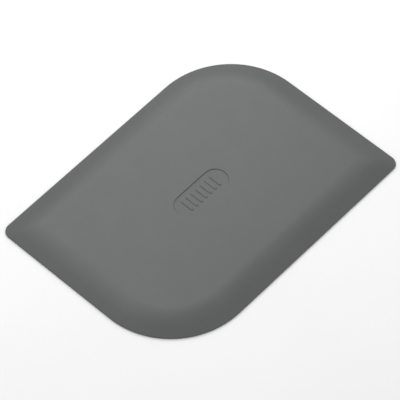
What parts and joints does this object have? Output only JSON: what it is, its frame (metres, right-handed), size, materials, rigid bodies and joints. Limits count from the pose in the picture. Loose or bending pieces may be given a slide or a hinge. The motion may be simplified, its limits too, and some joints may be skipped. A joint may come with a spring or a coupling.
{
  "type": "bowl scraper",
  "caption": "Flat hand scraper of soft silicone with a flexible bevelled lip, round corners on one diagonal, tight corners on the other, and a stiff core sealed inside.",
  "frame": {"origin": "middle of the card on its flat back, the face that lies on the table", "axes": "+X along the card's length, +Y across its width, +Z out of the face; the round corners are at +X +Y and -X -Y"},
  "size_m": [0.15, 0.11, 0.0044],
  "materials": {
    "face_silicone": "fine matt moulded silicone, mid grey",
    "core_steel": "rolled spring steel, punched and deburred",
    "back_silicone": "fine matt moulded silicone, mid grey"
  },
  "bodies": {
    "root": {"face_cover": "face_silicone", "core_plate": "core_steel", "back_pad": "back_silicone"}
  },
  "joints": []
}
